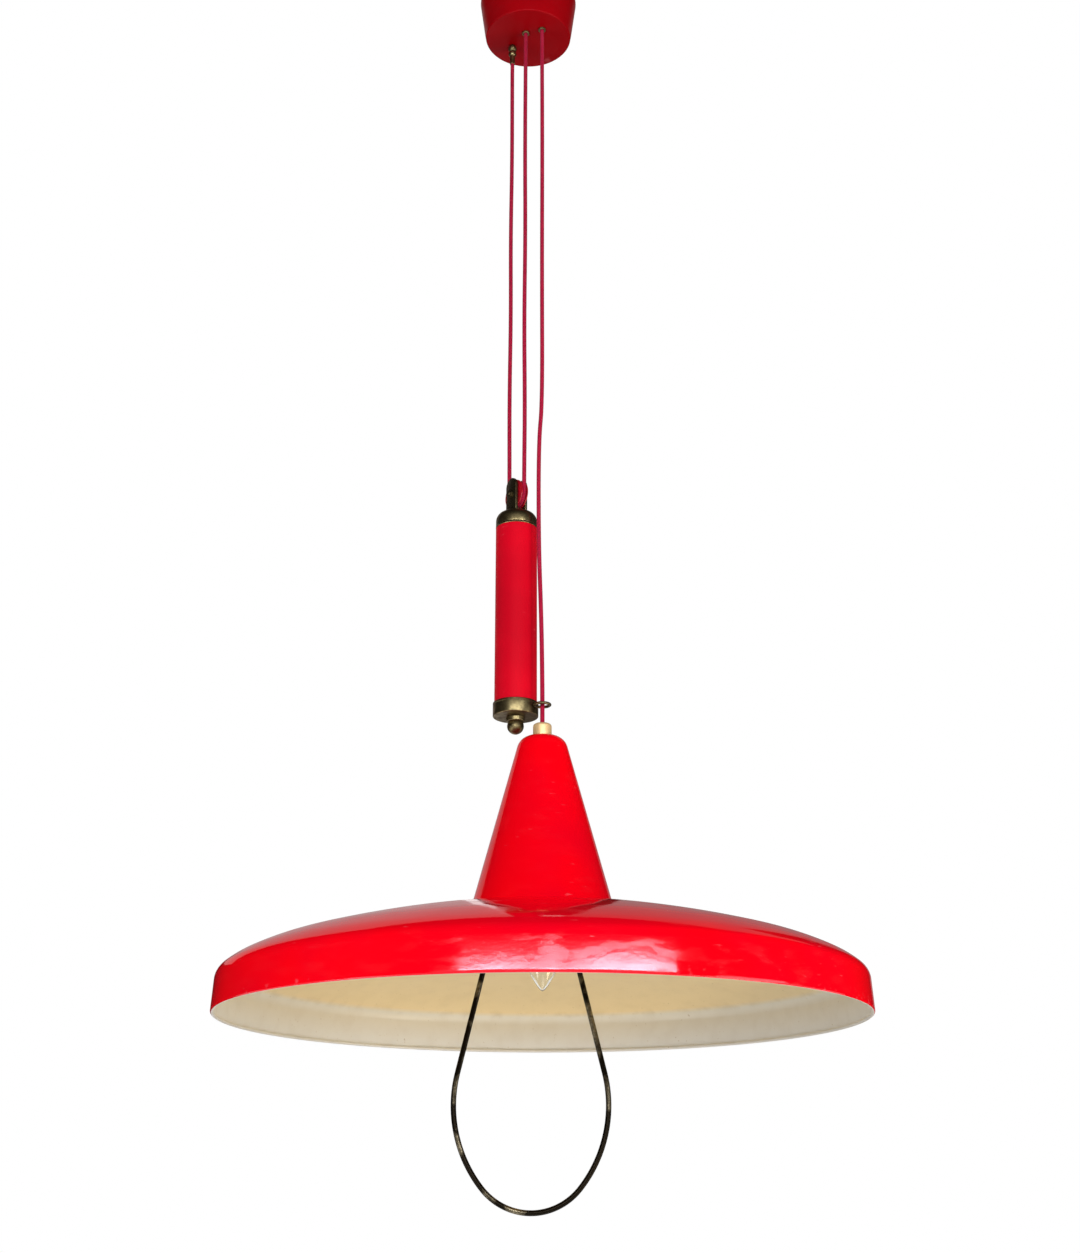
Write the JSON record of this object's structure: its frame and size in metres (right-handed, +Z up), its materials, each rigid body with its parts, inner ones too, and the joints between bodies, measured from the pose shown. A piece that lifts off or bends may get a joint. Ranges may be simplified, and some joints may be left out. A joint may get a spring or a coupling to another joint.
{
  "type": "rise and fall pendant",
  "caption": "Red enamelled dish pendant with conical neck and wire pull loop, hung on one cord over a canopy sheave and a tubular counterweight.",
  "frame": {"origin": "centre of the canopy open top, on the ceiling plane", "axes": "+Z up into the ceiling; -Y towards the viewer of the picture; +X to its right"},
  "size_m": [0.6, 0.6, 1.3335],
  "materials": {
    "red_enamel_steel": "gloss",
    "red_enamel_shade": "gloss",
    "red_cord": "matte",
    "aged_brass": "satin",
    "bright_brass": "polished",
    "plated_steel": "satin",
    "core_metal": "rough",
    "black_resin": "gloss",
    "white_resin": "satin",
    "clear_glass": "gloss"
  },
  "bodies": {
    "ceiling": {"canopy_shell": "red_enamel_steel", "ceiling_strap": "plated_steel", "canopy_screws": "aged_brass", "ceiling_yoke": "plated_steel", "yoke_rivet": "plated_steel", "ceiling_axle": "plated_steel", "axle_washer": "plated_steel", "bush_return": "bright_brass", "bush_lamp": "bright_brass", "cord_anchor": "aged_brass", "anchor_nut": "bright_brass", "terminal_block": "white_resin", "terminal_screws": "plated_steel", "supply_tail": "red_cord", "fall_still": "red_cord", "fall_return": "red_cord", "fall_lamp": "red_cord", "turn_ceiling": "red_cord"},
    "ceiling_pulley": {"ceiling_sheave": "aged_brass"},
    "counterweight": {"weight_tube": "red_enamel_steel", "weight_core": "core_metal", "top_cap": "aged_brass", "bottom_cap": "aged_brass", "pulley_fork": "aged_brass", "sheave_bolt": "aged_brass", "sheave_nut": "aged_brass", "tie_rod": "plated_steel", "ball_nut": "aged_brass", "guide_ring": "aged_brass", "turn_weight": "red_cord"},
    "weight_pulley": {"weight_sheave": "red_enamel_steel"},
    "shade": {"dish_shell": "red_enamel_shade", "cone_shell": "red_enamel_shade", "joint_screws": "plated_steel", "joint_nuts": "plated_steel", "entry_cap": "bright_brass", "hanger_tube": "plated_steel", "neck_nut": "plated_steel", "holder_nut": "plated_steel", "holder_cap": "black_resin", "holder_skirt": "black_resin", "holder_ring": "black_resin", "screw_shell": "bright_brass", "centre_contact": "bright_brass", "bulb_glass": "clear_glass", "bulb_cap": "bright_brass", "bulb_stem": "clear_glass", "ear_strap": "plated_steel", "lamp_tail": "red_cord"},
    "handle": {"handle_loop": "aged_brass"}
  },
  "joints": [
    {"name": "weight_travel", "type": "slide", "parent": "ceiling", "child": "counterweight", "axis": [0, 0, 1], "range_m": [0, 0.36], "deforming": ["fall_still", "fall_return"]},
    {"name": "shade_travel", "type": "slide", "parent": "ceiling", "child": "shade", "axis": [0, 0, 1], "range_m": [-0.72, 0], "deforming": ["fall_lamp"]},
    {"name": "weight_sheave_turn", "type": "hinge", "parent": "counterweight", "child": "weight_pulley", "pos_m": [-0.0105, 0.0005, -0.6286], "axis": [-0.829, -0.5592, 0], "range_deg": [0, 1490]},
    {"name": "ceiling_sheave_turn", "type": "hinge", "parent": "ceiling", "child": "ceiling_pulley", "pos_m": [0.00666, -0.01405, -0.024], "axis": [-0.301, -0.9536, 0], "range_deg": [-4230, 0]},
    {"name": "handle_swing", "type": "hinge", "parent": "shade", "child": "handle", "pos_m": [0.016, -0.017, -1.043], "axis": [1, 0, 0], "range_deg": [-50, 50]}
  ],
  "couplings": [
    {"joint": "shade_travel", "follows": "weight_travel", "ratio": -2},
    {"joint": "weight_sheave_turn", "follows": "weight_travel", "rad_per_m": 71.429},
    {"joint": "ceiling_sheave_turn", "follows": "weight_travel", "rad_per_m": -204.3}
  ]
}
